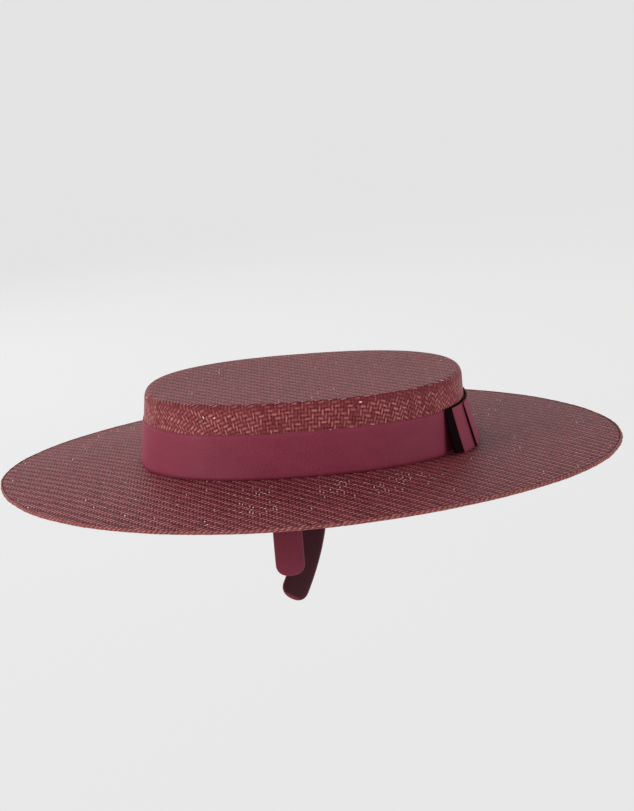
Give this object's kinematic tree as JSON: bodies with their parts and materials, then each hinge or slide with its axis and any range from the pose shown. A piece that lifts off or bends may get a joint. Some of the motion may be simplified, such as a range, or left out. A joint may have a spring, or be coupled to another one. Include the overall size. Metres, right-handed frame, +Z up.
{
  "type": "wide-brim straw boater hat",
  "caption": "Burgundy straw boater with a low flat crown, a wide oval brim, a ribbon round the crown, a flat stacked ribbon trim and a headband inside",
  "frame": {"origin": "the middle of the head opening, level with the top of the brim where it meets the crown", "axes": "+X runs the length of the head towards the ribbon trim, +Y across the head towards the headband's longer arm, +Z up"},
  "size_m": [0.3615, 0.3328, 0.1459],
  "materials": {
    "straw": "dyed straw in a fine twill weave, slight sheen",
    "straw_edge": "dyed straw turned under at the edge",
    "ribbon": "fine matte ribbon",
    "backing": "near-black felt",
    "headband_cover": "ribbon wound tight, dull"
  },
  "bodies": {
    "root": {"crown": "straw", "brim": "straw", "brim_hem": "straw_edge", "hat_band": "ribbon", "trim_backing": "backing", "trim_long_ribbon": "ribbon", "trim_short_ribbon": "ribbon", "headband": "headband_cover"}
  },
  "joints": []
}
